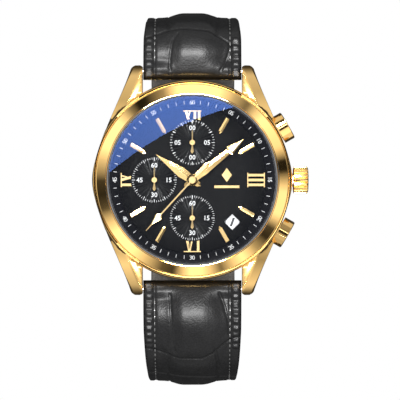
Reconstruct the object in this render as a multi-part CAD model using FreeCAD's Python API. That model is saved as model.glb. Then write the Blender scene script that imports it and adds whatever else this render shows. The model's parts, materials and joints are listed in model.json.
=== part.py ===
import FreeCAD, Part
import math
import os

# Chronograph wristwatch, millimetres. Everything is first built in the watch's own frame: x towards
# 3 o'clock, y towards 12 o'clock, z out of the dial, with the origin on the hand axis at the outer
# face of the case back. finish() then stands the watch up: 12 o'clock points along +Z, the dial
# faces -Y and the crown points along +X.

os.makedirs("parts", exist_ok=True)
V = FreeCAD.Vector
X, Y, Z = V(1, 0, 0), V(0, 1, 0), V(0, 0, 1)

# ---- case -------------------------------------------------------------------------------------
opening_r = 14.8           # clear view of the dial, inside the chapter ring
ring_w = 2.0               # chapter ring, seen from the front
bezel_w = 2.5              # bezel, seen from the front
crystal_r = opening_r + ring_w
bezel_r = crystal_r + bezel_w
case_r = bezel_r + 0.7     # middle, 3 to 9 o'clock
case_z0 = 1.0              # underside of the middle
case_z1 = 8.2              # seat of the bezel
cavity_r = 16.0            # room for the movement and its holder
dial_r = crystal_r
dial_z = 6.2               # underside of the dial
dial_t = 0.4
bezel_z1 = 10.2
crystal_z0 = 8.8
crystal_edge_z = 9.9
crystal_dome = 0.45
gasket_w = 0.2
seat_gap = 0.1             # radial play of pushed-in rings and covers
lug_tip_y = case_r + 3.15
lug_gap = 20.0             # between the lugs, the strap's nominal width
lug_slope = 34.0           # degrees, outer facet
bar_y = lug_tip_y - 1.25   # spring bar that holds the strap
bar_z = 2.2
bar_r = 0.75
bar_pin_r = 0.4
back_flange_r = case_r - 2.0

# ---- crown and pushers --------------------------------------------------------------------------
stem_z = 4.6
crown_r = 2.75
crown_x0 = case_r + 0.2
crown_x1 = case_r + 3.1
crown_flutes = 16
crown_pull = 1.0
stem_r = 0.65
pusher_angle = 30.0
pusher_r = 2.9
pusher_top = case_r + 2.1  # outer face, from the hand axis
pusher_travel = 0.8
rod_r = 0.6
run_gap = 0.05             # running clearance of shafts in their bores

# ---- dial and hands -----------------------------------------------------------------------------
counter_r = 4.6
counter_places = {"top": (0.0, 7.5), "left": (-7.6, 0.0), "bottom": (0.0, -7.6)}
counter_depth = 0.12
window_at = (8.0, -8.4)
window_side = 2.25
marker_z = dial_z + dial_t
marker_t = 0.35
hour_z = 7.25
minute_z = 7.7
seconds_z = 8.15
hand_t = 0.18
hour_angle = 305.0
minute_angle = 51.8
seconds_angle = 222.4

# ---- movement -----------------------------------------------------------------------------------
plate_r = 13.6
plate_z = 3.6
plate_t = 1.0
holder_r = 15.8
motor_ratio = 10           # turns of a rotor for each turn of its wheel
rotor_teeth = 6
wheel_module = 0.08
motion_module = 0.125
cannon_teeth, minute_wheel_teeth = 12, 36
pinion_teeth, hour_wheel_teeth = 10, 40

# ---- strap --------------------------------------------------------------------------------------
strap_w = lug_gap - 0.2    # beside the lugs
strap_side_w = lug_gap - 1.5   # where the strap turns down round the wrist
strap_end_w = lug_gap - 2.0
strap_eye_r = 1.75         # end wrapped round its spring bar
wrap_r = 52.0              # closed part of the short half, about the middle of the two bars
tail_r = wrap_r - 3.3      # tail of the long half, sliding inside it
buckle_angle = -3.0        # place of the buckle bar round that middle, from straight below
tail_angle = 19.0
buckle_w = strap_end_w + 4.0
buckle_l = 11.0
buckle_t = 1.8
keeper_t = 0.8
keeper_w = 4.2
keeper_angles = {"fixed_keeper": 5.0, "free_keeper": 12.5}


def finish(name, shape):
    """Stand the watch up and write the node."""
    shape = shape.copy()
    shape.rotate(V(0, 0, 0), X, 90)
    shape.exportStep("parts/" + name + ".step")


def fuse(shapes):
    shapes = list(shapes)
    if len(shapes) == 1:
        return shapes[0]
    return shapes[0].multiFuse(shapes[1:]).removeSplitter()


def rod(x, y, z0, z1, r):
    return Part.makeCylinder(r, z1 - z0, V(x, y, z0))


def tube(x, y, z0, z1, r, bore):
    return rod(x, y, z0, z1, r).cut(rod(x, y, z0 - 1, z1 + 1, bore))


def block(x0, x1, y0, y1, z0, z1):
    return Part.makeBox(x1 - x0, y1 - y0, z1 - z0, V(x0, y0, z0))


def face(points):
    points = [V(*p) for p in points]
    return Part.Face(Part.makePolygon(points + points[:1]))


def turned(outline):
    """Revolve a closed (radius, z) outline about the hand axis."""
    return face([(r, 0, z) for r, z in outline]).revolve(V(0, 0, 0), Z, 360)


def plate(outline, z0, z1):
    """Extrude a closed (x, y) outline."""
    return face([(x, y, z0) for x, y in outline]).extrude(V(0, 0, z1 - z0))


def spun(shape, degrees):
    """Turn about the hand axis, anticlockwise seen from the front."""
    shape = shape.copy()
    shape.rotate(V(0, 0, 0), Z, degrees)
    return shape


def lying(x0, x1, r, z, y=0.0):
    return Part.makeCylinder(r, x1 - x0, V(x0, y, z), X)


def gear(teeth, module, z0, z1, x, y, bore=0.0, phase=0.0):
    """Spur gear with straight-sided teeth that leave backlash on both flanks."""
    pitch_r = teeth * module / 2
    top, root = pitch_r + 0.8 * module, pitch_r - 1.15 * module
    points = []
    for k in range(teeth):
        for share, r in ((-0.3, root), (-0.13, top), (0.13, top), (0.3, root)):
            turn = math.radians(phase) + 2 * math.pi * (k + share) / teeth
            points.append((x + r * math.cos(turn), y + r * math.sin(turn)))
    solid = plate(points, z0, z1)
    return solid.cut(rod(x, y, z0 - 1, z1 + 1, bore)) if bore else solid


# ---- case middle and lugs -------------------------------------------------------------------------
def case_outline():
    """Plan of the middle: bowed flanks run out into the lugs, which leave the strap's gap."""
    tip_x, half_gap = lug_gap / 2 + 2.4, lug_gap / 2
    flank = [(tip_x, lug_tip_y - 0.75), (0.8175 * case_r, 0.62 * case_r),
             (0.9665 * case_r, 0.205 * case_r), (case_r, 0)]
    flank += [(x, -y) for x, y in flank[-2::-1]]
    gap_y = math.sqrt(case_r ** 2 - half_gap ** 2)
    edges = []
    for side in (1, -1):
        curve = Part.BSplineCurve()
        curve.interpolate([V(side * x, y, 0) for x, y in flank])
        edges.append(curve.toShape())
        for end in (1, -1):
            tip = [V(side * tip_x, end * (lug_tip_y - 0.75), 0),
                   V(side * (half_gap + 1.5), end * lug_tip_y, 0),
                   V(side * half_gap, end * (lug_tip_y - 0.35), 0)]
            edges.append(Part.Arc(*tip).toShape())
            edges.append(Part.makeLine(tip[2], V(side * half_gap, end * gap_y, 0)))
    for end in (1, -1):
        edges.append(Part.Arc(V(-half_gap, end * gap_y, 0), V(0, end * case_r, 0),
                              V(half_gap, end * gap_y, 0)).toShape())
    return Part.Wire(Part.__sortEdges__(edges))


def ridge(y, z):
    """Place on the ridge between a lug's two top facets."""
    return V(lug_gap / 2 + 0.6 + (lug_tip_y - 2.4 - y) * 0.425, y, z)


def lug():
    """One lug: a curved arm whose top breaks into a flat inner and a sloping outer facet."""
    start_y, top = 9.0, case_z1
    crest = [(start_y, top), (12.8, top), (lug_tip_y - 6.65, 7.55), (lug_tip_y - 3.15, 5.85),
             (lug_tip_y - 0.95, 3.95), (lug_tip_y + 0.6, 2.0)]
    curve = Part.BSplineCurve()
    curve.interpolate([ridge(y, z) for y, z in crest])
    low = -12.0
    first, last = ridge(*crest[0]), ridge(*crest[-1])
    under = Part.Wire([curve.toShape(),
                       Part.makeLine(last, V(last.x, last.y, low)),
                       Part.makeLine(V(last.x, last.y, low), V(first.x, first.y, low)),
                       Part.makeLine(V(first.x, first.y, low), first)])
    under = Part.Face(under)
    reach = 9.0
    inner = under.extrude(V(-reach, 0, 0))
    outer = under.extrude(V(reach, 0, -reach * math.tan(math.radians(lug_slope))))
    side = [(start_y, case_z0), (lug_tip_y - 5.15, case_z0), (lug_tip_y - 1.95, 0.35),
            (lug_tip_y - 0.75, 0.3), (lug_tip_y, 1.1), (lug_tip_y, top), (start_y, top)]
    side = face([(lug_gap / 2 - 1, y, z) for y, z in side]).extrude(V(14, 0, 0))
    body = fuse([inner, outer]).common(side)
    return body.common(block(lug_gap / 2, lug_gap / 2 + 12, start_y, lug_tip_y + 1, -1, top + 1))


def case_middle():
    waist = turned([(cavity_r, case_z0), (case_r - 1.3, case_z0), (case_r - 0.35, case_z0 + 1.3),
                    (case_r, case_z0 + 3.0), (case_r, case_z1 - 0.35), (case_r - 0.3, case_z1),
                    (cavity_r, case_z1)])
    arm = lug()
    across = arm.mirror(V(0, 0, 0), X)
    arms = [arm, across, arm.mirror(V(0, 0, 0), Y), across.mirror(V(0, 0, 0), Y)]
    plan = Part.Face(case_outline()).extrude(V(0, 0, 14))
    plan.translate(V(0, 0, -2))
    keep_out = rod(0, 0, -1, case_z1 + 1, cavity_r)
    body = fuse([waist] + [a.cut(keep_out) for a in arms]).common(plan)
    cuts = [rod(0, 0, case_z0 - 1, case_z0 + 0.6, cavity_r + 0.6),
            rod(0, 0, dial_z, case_z1 + 1, dial_r + 0.2),
            rod(0, 0, case_z1 - 0.8, case_z1 + 1, bezel_foot_r() + seat_gap),
            lying(cavity_r - 1, case_r + 2, 1.3, stem_z)]
    for sign in (1, -1):
        cuts.append(spun(lying(cavity_r - 1, case_r + 3, 1.2, stem_z), sign * pusher_angle))
        cuts.append(spun(lying(pusher_seat(), case_r + 3, pusher_r + 0.1, stem_z), sign * pusher_angle))
        reach = lug_gap / 2 + 1.4
        cuts.append(lying(-reach, reach, bar_pin_r + run_gap, bar_z, sign * bar_y))
    return body.cut(Part.makeCompound(cuts))


def bezel_foot_r():
    return crystal_r + gasket_w + 0.5


def pusher_seat():
    """Floor of the recess that a pusher sinks into."""
    return pusher_top - pusher_travel - 2.25


def bezel():
    inner = crystal_r + gasket_w
    return turned([(inner, crystal_edge_z), (inner + 0.3, bezel_z1), (inner + 0.9, bezel_z1 + 0.02),
                   (bezel_r - 0.55, bezel_z1 - 0.55), (bezel_r - 0.12, bezel_z1 - 1.1),
                   (bezel_r, case_z1 + 0.35), (bezel_r - 0.3, case_z1), (bezel_foot_r(), case_z1),
                   (bezel_foot_r(), case_z1 - 0.75), (crystal_r + 0.05, case_z1 - 0.75),
                   (crystal_r + 0.05, crystal_z0 - 0.2), (inner, crystal_z0 - 0.2)])


def crystal():
    """Flat below, slightly domed above."""
    dome_r = (crystal_r ** 2 + crystal_dome ** 2) / (2 * crystal_dome)
    ball = Part.makeSphere(dome_r, V(0, 0, crystal_edge_z + crystal_dome - dome_r))
    return rod(0, 0, crystal_z0, crystal_edge_z + 1, crystal_r).common(ball)


def crystal_gasket():
    inner, outer = crystal_r - 0.3, crystal_r + gasket_w
    return turned([(inner, crystal_z0 - 0.2), (outer, crystal_z0 - 0.2), (outer, crystal_edge_z),
                   (crystal_r, crystal_edge_z), (crystal_r, crystal_z0), (inner, crystal_z0)])


def case_back():
    plug = cavity_r - seat_gap
    flange = turned([(0, 0), (back_flange_r - 1.2, 0), (back_flange_r, 0.7), (back_flange_r, case_z0),
                     (plug, case_z0), (plug, case_z0 + 0.8), (plug - 1.0, case_z0 + 0.8),
                     (plug - 1.0, case_z0 + 0.2), (0, case_z0 + 0.2)])
    notch_r = back_flange_r + 0.3
    notches = [spun(rod(notch_r, 0, -1, 0.6, 1.0), k * 60 + 30) for k in range(6)]
    return flange.cut(Part.makeCompound(notches))


# ---- crown, stem and pushers ------------------------------------------------------------------------
def crown():
    """Fluted knob with a rounded end and a skirt that covers the tube."""
    tip = crown_x1
    body = Part.Wire([
        Part.makeLine(V(crown_x0, 0, 0), V(crown_x0, 0, crown_r - 0.25)),
        Part.makeLine(V(crown_x0, 0, crown_r - 0.25), V(crown_x0 + 0.3, 0, crown_r)),
        Part.makeLine(V(crown_x0 + 0.3, 0, crown_r), V(tip - 0.75, 0, crown_r)),
        Part.Arc(V(tip - 0.75, 0, crown_r), V(tip - 0.22, 0, crown_r * 0.78), V(tip, 0, 0)).toShape(),
        Part.makeLine(V(tip, 0, 0), V(crown_x0, 0, 0))])
    body = Part.Face(body).revolve(V(0, 0, 0), X, 360)
    groove_r = 0.36
    flutes = []
    for k in range(crown_flutes):
        flute = Part.makeCylinder(groove_r, tip, V(crown_x0 - 1, 0, crown_r + 0.12), X)
        flute.rotate(V(0, 0, 0), X, 360 * (k + 0.5) / crown_flutes)
        flutes.append(flute)
    body = body.cut(Part.makeCompound(flutes)).cut(lying(crown_x0 - 1, crown_x0 + 1.8, 1.7, 0))
    body.translate(V(0, 0, stem_z))
    return body


def pusher(sign):
    """Head and rod in one, drilled underneath for its spring."""
    head = lying(pusher_top - 2.15, pusher_top, pusher_r, stem_z)
    head = head.makeChamfer(0.15, [e for e in head.Edges if abs(e.CenterOfMass.x - pusher_top) < 0.01])
    head = head.cut(lying(pusher_top - 3, pusher_top - 0.95, 2.2, stem_z))
    shank = lying(rod_end(), pusher_top - 0.8, rod_r, stem_z)
    groove = lying(clip_x(), clip_x() + 0.3, rod_r + 1, stem_z).cut(
        lying(clip_x(), clip_x() + 0.3, rod_r - 0.15, stem_z))
    return spun(fuse([head, shank]).cut(groove), sign * pusher_angle)


def clip_x():
    return cavity_r - 0.5


def rod_end():
    return clip_x() - 0.75


def pusher_clip(sign):
    ring = lying(clip_x(), clip_x() + 0.3, 1.05, stem_z)
    return spun(ring.cut(lying(clip_x() - 1, clip_x() + 1, rod_r - 0.15, stem_z)), sign * pusher_angle)


def pusher_spring(sign):
    """Return spring as close coils between the recess floor and the head."""
    wire_r, coil_r = 0.16, 1.7
    first, last = pusher_seat() + wire_r + 0.02, pusher_top - 0.95 - wire_r - 0.02
    count = 5
    coils = [Part.makeTorus(coil_r, wire_r, V(first + (last - first) * k / (count - 1), 0, stem_z), X)
             for k in range(count)]
    return spun(Part.makeCompound(coils), sign * pusher_angle)


def pusher_tube(sign):
    x0, x1 = clip_x() + 0.32, pusher_seat() + 1.0
    sleeve = lying(x0, x1, 1.2, stem_z).cut(lying(x0 - 1, x1 + 1, rod_r + run_gap, stem_z))
    return spun(sleeve, sign * pusher_angle)


def crown_stem():
    """Stem with a square-shouldered neck for the setting lever and a thin end for its pinion."""
    x0 = lever_x() - 2.6
    body = fuse([lying(x0, lever_x() - 0.2, 0.45, stem_z),
                 lying(lever_x() - 0.2, crown_x0 + 2.4, stem_r, stem_z)])
    neck = lying(lever_x() - 0.05, lever_x() + 0.35, stem_r + 1, stem_z)
    return body.cut(neck.cut(lying(lever_x() - 1, lever_x() + 1, 0.35, stem_z)))


def crown_tube():
    sleeve = lying(cavity_r - 0.15, crown_x0 + 1.5, 1.3, stem_z)
    return sleeve.cut(lying(0, crown_x1, stem_r + run_gap, stem_z))


def lever_x():
    return plate_r - 1.6


def setting_lever():
    """Forked plate that grips the stem's neck."""
    x0 = lever_x()
    arm = block(x0, x0 + 0.3, -0.9, 2.4, stem_z - 0.9, stem_z + 0.75)
    return arm.cut(lying(x0 - 1, x0 + 1, 0.35 + run_gap, stem_z))


def sliding_pinion():
    x0 = lever_x() - 2.2
    wheel = gear(10, 0.17, 0, 1.3, 0, 0, bore=0.45)
    wheel.rotate(V(0, 0, 0), Y, 90)
    wheel.translate(V(x0, 0, stem_z))
    return wheel


# ---- dial side --------------------------------------------------------------------------------------
def window(side, z0, z1):
    hole = block(-side / 2, side / 2, -side / 2, side / 2, z0, z1)
    hole = spun(hole, 45)
    hole.translate(V(window_at[0], window_at[1], 0))
    return hole


def dial():
    top = dial_z + dial_t
    cuts = [rod(x, y, top - counter_depth, top + 1, counter_r) for x, y in counter_places.values()]
    cuts += [rod(x, y, dial_z - 1, top, arbor_r + run_gap) for x, y in counter_places.values()]
    cuts += [rod(0, 0, dial_z - 1, top + 1, hour_tube_r + run_gap), window(window_side, dial_z - 1, top + 1)]
    return rod(0, 0, dial_z, top, dial_r).cut(Part.makeCompound(cuts))


def chapter_ring():
    top = dial_z + dial_t
    outer = crystal_r - 0.05
    return turned([(opening_r, top), (outer, top), (outer, case_z1), (outer - 0.25, case_z1),
                   (opening_r, top + 0.3)])


def batons():
    """Eight applied markers, pointed towards the centre."""
    r0, r1, half = opening_r - 4.1, opening_r - 0.6, 0.375
    outline = [(-half, r1), (half, r1), (half, r0 + 0.5), (0, r0), (-half, r0 + 0.5)]
    places = [30 * hour for hour in (1, 2, 4, 5, 7, 8, 10, 11)]
    return Part.makeCompound([spun(plate(outline, marker_z, marker_z + marker_t), -a) for a in places])


def stroke(x0, y0, x1, y1, width):
    return plate([(x0 - width / 2, y0), (x0 + width / 2, y0), (x1 + width / 2, y1), (x1 - width / 2, y1)],
                 marker_z, marker_z + marker_t)


def numeral(letters, width, height):
    """Roman numeral between two thin rules, centred on x with its foot at y = 0."""
    thick, thin, rule = 0.5, 0.28, 0.2
    spans = {"I": 1.0, "V": 2.2, "X": 2.2}
    unit = width / sum(spans[c] for c in letters)
    parts = [plate([(-width / 2, y), (width / 2, y), (width / 2, y + rule), (-width / 2, y + rule)],
                   marker_z, marker_z + marker_t) for y in (0, height - rule)]
    x = -width / 2
    for letter in letters:
        span = spans[letter] * unit
        left, right, middle = x + thick, x + span - thick, x + span / 2
        if letter == "I":
            parts.append(stroke(middle, 0, middle, height, thick))
        elif letter == "X":
            parts += [stroke(left, height, right, 0, thick), stroke(left, 0, right, height, thin)]
        else:
            parts += [stroke(left, height, middle, 0, thick), stroke(right, height, middle, 0, thin)]
        x += span
    return fuse(parts)


def numerals():
    """XII, III, VI and IX. Counters cut into three of them."""
    placed = []
    foot = opening_r - 3.8
    for letters, width, height, turn in (("XII", 3.6, 2.9, 0), ("III", 2.9, 3.5, -90), ("IX", 2.8, 3.3, 90)):
        shape = numeral(letters, width, height)
        shape.translate(V(0, foot, 0))
        placed.append(spun(shape, turn))
    six = numeral("VI", 3.4, 3.3)
    six.translate(V(0, -opening_r + 0.4, 0))
    placed.append(six)
    clear = Part.makeCompound([rod(x, y, 0, 20, counter_r + 0.12) for x, y in counter_places.values()])
    return Part.makeCompound([s.cut(clear) for s in placed])


def applied_mark():
    """Plain lozenge over a bar."""
    x, y, top = 6.9, 0.3, marker_z + 0.3
    lozenge = plate([(x, y + 2.1), (x + 1.0, y + 0.7), (x, y - 0.7), (x - 1.0, y + 0.7)], marker_z, top)
    bar = plate([(x - 2.5, y - 1.9), (x + 2.5, y - 1.9), (x + 2.5, y - 1.4), (x - 2.5, y - 1.4)],
                marker_z, top)
    return Part.makeCompound([lozenge, bar])


def hand(outline, angle, z, hub_r, bore, x=0.0, y=0.0):
    """Flat hand: an outline of (half width, distance) points on both sides of its centre line."""
    left = [(-w, d) for w, d in reversed(outline)]
    blade = plate(outline + [p for p in left if p[0] != 0], z, z + hand_t)
    body = fuse([blade, rod(0, 0, z, z + hand_t, hub_r)]).cut(rod(0, 0, z - 1, z + 1, bore))
    body = spun(body, -angle)
    body.translate(V(x, y, 0))
    return body


def inlay(outline, angle, z):
    left = [(-w, d) for w, d in reversed(outline)]
    return spun(plate(outline + [p for p in left if p[0] != 0], z, z + hand_t + 0.04), -angle)


arbor_r = 0.15
cannon_r = 0.45
hour_tube_r = 0.8
hour_shape = [(0, -2.1), (0.5, -1.6), (0.75, 0), (1.05, 2.6), (0, 8.9)]
minute_shape = [(0, -2.1), (0.4, -1.6), (0.6, 0), (0.85, 3.0), (0.5, 9.2), (0.95, 9.5), (0, 13.1)]
minute_inlay = [(0.5, 9.8), (0, 12.2)]
seconds_shape = [(0, -4.9), (0.45, -4.0), (0.16, -1.0), (0.14, 9.3), (0.7, 9.9), (0.1, 11.9), (0.05, 13.7)]
seconds_inlay = [(0.08, 9.75), (0.45, 10.05), (0.05, 11.4)]
counter_shape = [(0, -2.2), (0.32, -1.8), (0.1, -0.6), (0.1, 1.9), (0, 2.7)]


def minute_hand():
    body = hand(minute_shape, minute_angle, minute_z, 1.0, cannon_r)
    return body.cut(inlay(minute_inlay, minute_angle, minute_z))


def seconds_hand():
    body = hand(seconds_shape, seconds_angle, seconds_z, 0.85, arbor_r)
    return body.cut(inlay(seconds_inlay, seconds_angle, seconds_z))


# ---- movement ---------------------------------------------------------------------------------------
motion_at = (2.121, -2.121)
wheel_teeth = rotor_teeth * motor_ratio
rotor_reach = (wheel_teeth + rotor_teeth) * wheel_module / 2
rotor_turns = {"centre": -20.0, "top": 180.0, "left": -90.0, "bottom": 0.0}
battery_at, battery_r = (6.6, 6.2), 3.95
screw_places = [(-8.2, 6.2), (-6.5, -8.2), (8.2, -6.6), (1.3, 10.7)]
wheel_z = 2.6
bridge_z = 1.95


def wheel_centre(name):
    return (0.0, 0.0) if name == "centre" else counter_places[name]


def rotor_at(name):
    x, y = wheel_centre(name)
    turn = math.radians(rotor_turns[name])
    return x + rotor_reach * math.cos(turn), y + rotor_reach * math.sin(turn)


def arbor_places():
    return [wheel_centre(name) for name in rotor_turns]


def main_plate():
    """Disc that carries every arbor, open where the stem and its lever move."""
    z1 = plate_z + plate_t
    post = rod(motion_at[0], motion_at[1], z1, z1 + 0.95, 0.25)
    cuts = [rod(x, y, 0, z1 + 1, arbor_r + run_gap) for x, y in arbor_places()]
    cuts += [rod(x, y, 0, z1 + 1, 0.35) for x, y in screw_places]
    cuts.append(block(lever_x() - 3.0, plate_r + 1, -1.3, 2.8, 0, z1 + 1))
    return fuse([rod(0, 0, plate_z, z1, plate_r), post]).cut(Part.makeCompound(cuts))


def train_bridge():
    z1 = bridge_z + 0.3
    body = fuse([rod(0, 0, bridge_z, z1, 11.2)] + [rod(x, y, z1, plate_z, 0.7) for x, y in screw_places])
    cuts = [rod(x, y, 0, z1 + 1, arbor_r + run_gap) for x, y in arbor_places()]
    cuts += [rod(x, y, 0, plate_z + 1, 0.35) for x, y in screw_places]
    cuts.append(rod(battery_at[0], battery_at[1], 0, z1 + 1, battery_r + 0.2))
    return body.cut(Part.makeCompound(cuts))


def bridge_screws():
    screws = []
    for x, y in screw_places:
        head = rod(x, y, bridge_z - 0.22, bridge_z, 0.6)
        head = head.cut(block(x - 1, x + 1, y - 0.1, y + 0.1, bridge_z - 0.3, bridge_z - 0.12))
        screws.append(fuse([head, rod(x, y, bridge_z, plate_z + 0.8, 0.35)]))
    return Part.makeCompound(screws)


def circuit_board():
    board = rod(0, 0, 1.42, 1.67, plate_r - 0.4)
    return board.cut(rod(battery_at[0], battery_at[1], 0, 3, battery_r + 0.2))


def battery():
    x, y = battery_at
    return fuse([rod(x, y, 1.42, 2.7, battery_r), rod(x, y, 2.7, 3.05, battery_r - 0.5)])


def battery_clamp():
    x, y = battery_at
    return block(x - battery_r - 1.5, x + battery_r - 0.6, y - 0.9, y + 0.9, 1.24, 1.4)


def holder():
    """Spacer ring between movement and case, notched for the stem and the pusher rods."""
    ring = tube(0, 0, case_z0 + 0.9, dial_z, holder_r, plate_r + 0.05)
    cuts = [lying(plate_r - 2, holder_r + 2, 1.0, stem_z)]
    cuts += [spun(lying(plate_r - 2, holder_r + 2, 1.35, stem_z), s * pusher_angle) for s in (1, -1)]
    return ring.cut(Part.makeCompound(cuts))


def train_wheel(name, top):
    """Wheel on its long arbor, which carries the hand."""
    x, y = wheel_centre(name)
    wheel = gear(wheel_teeth, wheel_module, wheel_z, wheel_z + 0.25, x, y, phase=rotor_turns[name])
    return fuse([wheel, rod(x, y, bridge_z + 0.05, top, arbor_r)])


def rotor(name):
    x, y = rotor_at(name)
    pinion = gear(rotor_teeth, wheel_module, wheel_z - 0.05, wheel_z + 0.3, x, y,
                  phase=rotor_turns[name] + 180 + 180 / rotor_teeth)
    return fuse([pinion, rod(x, y, wheel_z + 0.3, wheel_z + 0.8, 0.6),
                 rod(x, y, bridge_z + 0.35, plate_z - 0.05, 0.08)])


def motor_part(name, shape):
    """Move a part built round a rotor at the origin, its wheel lying towards -x, into place."""
    shape = spun(shape, rotor_turns[name])
    shape.translate(V(rotor_at(name)[0], rotor_at(name)[1], 0))
    return shape


def stators():
    z0 = wheel_z + 0.4
    leaf = block(-1.1, 2.4, -2.6, 2.6, z0, z0 + 0.3).cut(rod(0, 0, 0, 9, 0.75))
    leaf = leaf.cut(block(1.25, 3, -1.9, 1.9, 0, 9))
    return [motor_part(name, leaf) for name in rotor_turns]


def coils():
    core = Part.makeCylinder(0.55, 3.6, V(1.95, -1.8, wheel_z + 0.37), Y)
    return [motor_part(name, core) for name in rotor_turns]


def quartz_can():
    return Part.makeCylinder(0.65, 4.2, V(-plate_r + 1.7, -1.0, 2.5), Y)


def cannon_pinion():
    z0 = plate_z + plate_t + 0.15
    teeth = gear(cannon_teeth, motion_module, z0, z0 + 0.25, 0, 0, phase=-45)
    return fuse([teeth, rod(0, 0, z0 + 0.25, minute_z + hand_t + 0.05, cannon_r)]).cut(
        rod(0, 0, 0, 20, arbor_r + run_gap))


def minute_wheel():
    z0 = plate_z + plate_t + 0.15
    x, y = motion_at
    wheel = gear(minute_wheel_teeth, motion_module, z0, z0 + 0.25, x, y,
                 phase=135 + 180 / minute_wheel_teeth)
    pinion = gear(pinion_teeth, second_module(), z0 + 0.25, z0 + 0.7, x, y,
                  phase=135 + 180 / pinion_teeth)
    return fuse([wheel, pinion]).cut(rod(x, y, 0, 20, 0.25 + run_gap))


def second_module():
    """The second pair turns at the same centre distance as the first."""
    return (cannon_teeth + minute_wheel_teeth) * motion_module / (pinion_teeth + hour_wheel_teeth)


def hour_wheel():
    z0 = plate_z + plate_t + 0.55
    wheel = gear(hour_wheel_teeth, second_module(), z0, z0 + 0.25, 0, 0, phase=-45)
    return fuse([wheel, rod(0, 0, z0, hour_z + hand_t + 0.05, hour_tube_r)]).cut(
        rod(0, 0, 0, 20, cannon_r + run_gap))


def date_disc():
    ring = rod(0, 0, dial_z - 0.4, dial_z - 0.15, plate_r - 0.25)
    return ring.cut(gear(31, 0.64, 0, 20, 0, 0))


# ---- strap ------------------------------------------------------------------------------------------
def round_middle(degrees, r):
    """Point (y, z) at an angle from straight below, about the middle of the two spring bars."""
    turn = math.radians(degrees)
    return r * math.sin(turn), bar_z - r * math.cos(turn)


upper_fall = [(0, bar_z, 3.5), (4.1, 1.2, 4.3), (8.2, -2.8, 4.2), (10.3, -9.5, 3.9),
              (10.9, -17.5, 3.6), (10.6, -25.5, 3.2), (8.7, -33.4, 2.8), (4.4, -40.4, 2.5)]
lower_fall = [(0, bar_z, 3.5), (4.5, 1.4, 4.3), (10.3, -2.4, 4.3), (15.5, -9.0, 4.0),
              (18.5, -17.5, 3.7), (18.5, -26.2, 3.3), (15.4, -33.4, 2.9), (9.3, -38.4, 2.6),
              (1.3, -42.0, 2.3)]
upper_line = [(bar_y + out, z, t) for out, z, t in upper_fall]
upper_line += [round_middle(a, wrap_r) + (2.4,) for a in (22.5, 16, 9.5, 3, buckle_angle + 0.4)]
lower_line = [(-bar_y - out, z, t) for out, z, t in lower_fall]
lower_line += [round_middle(a, tail_r) + (2.2,) for a in (-17, -10, -3, 4, 11.5, tail_angle)]


def strap_half(line, first_eye, last_eye):
    """Side outline of a half, cut to its width, with an eye at each end that takes a bar."""
    centre = Part.BSplineCurve()
    centre.interpolate([V(0, y, z) for y, z, t in line])
    outer, inner = [], []
    for y, z, t in line:
        at = centre.parameter(V(0, y, z))
        along = centre.tangent(at)[0]
        across = V(0, -along.z, along.y)
        outer.append(V(0, y, z) + across * (t / 2))
        inner.append(V(0, y, z) - across * (t / 2))
    sides = []
    for points in (outer, inner):
        curve = Part.BSplineCurve()
        curve.interpolate(points)
        sides.append(curve.toShape())
    wire = Part.Wire([sides[0], Part.makeLine(outer[-1], inner[-1]), sides[1],
                      Part.makeLine(inner[0], outer[0])])
    body = Part.Face(wire).extrude(V(strap_w, 0, 0))
    body.translate(V(-strap_w / 2, 0, 0))
    eyes, bores = [], []
    for y, z, r, bore in (first_eye, last_eye):
        eyes.append(Part.makeCylinder(r, strap_w, V(-strap_w / 2, y, z), X))
        if bore:
            bores.append(Part.makeCylinder(bore, strap_w + 2, V(-strap_w / 2 - 1, y, z), X))
    body = fuse([body] + eyes).cut(Part.makeCompound(bores))
    half_w, side, end = strap_w / 2, strap_side_w / 2, strap_end_w / 2
    right = [(half_w, 8), (half_w, -1), (side, -18), (end, 6 - wrap_r), (end, -wrap_r - 8)]
    front = face([(x, -70, z) for x, z in right] + [(-x, -70, z) for x, z in reversed(right)])
    return body.common(front.extrude(V(0, 140, 0)))


def strap_upper():
    y, z = round_middle(buckle_angle, wrap_r)
    body = strap_half(upper_line, (bar_y, bar_z, strap_eye_r, bar_r + run_gap), (y, z, 1.2, 0.6 + run_gap))
    return body.cut(block(-1.3, 1.3, y - 2, y + 2.6, z - 3, z + 3))


def strap_lower():
    y, z = round_middle(tail_angle, tail_r)
    return strap_half(lower_line, (-bar_y, bar_z, strap_eye_r, bar_r + run_gap), (y, z, 1.1, 0))


def spring_bar(sign):
    """Spring bar: a body with a thinner pin at each end that enters the lugs."""
    shoulder = lug_gap / 2 - 0.3
    reach = lug_gap / 2 + 1.2
    return fuse([lying(-shoulder, shoulder, bar_r, bar_z, sign * bar_y),
                 lying(-reach, reach, bar_pin_r, bar_z, sign * bar_y)])


def on_wrap(shape, degrees, r):
    """Move a part built at the origin, y along the strap and z inwards, to its place on the wrap."""
    y, z = round_middle(degrees, r)
    shape = shape.copy()
    shape.rotate(V(0, 0, 0), X, degrees)
    shape.translate(V(0, y, z))
    return shape


def buckle_bar():
    half = buckle_w / 2 - 1.0
    return on_wrap(lying(-half, half, 0.6, 0), buckle_angle, wrap_r)


def buckle_frame():
    """Rounded rectangular loop, hinged on the buckle bar."""
    half = buckle_w / 2
    outer = block(-half, half, -buckle_l + 1.2, 1.2, -buckle_t / 2, buckle_t / 2)
    corners = [e for e in outer.Edges if abs(e.Length - buckle_t) < 1e-6 and e.CenterOfMass.y < -1]
    outer = outer.makeFillet(2.6, corners)
    hole = block(-half + 2.0, half - 2.0, -buckle_l + 3.2, 3, -5, 5)
    bore = lying(-half + 0.95, half - 0.95, 0.6 + run_gap, 0)
    return on_wrap(outer.cut(hole).cut(bore), buckle_angle, wrap_r)


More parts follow.
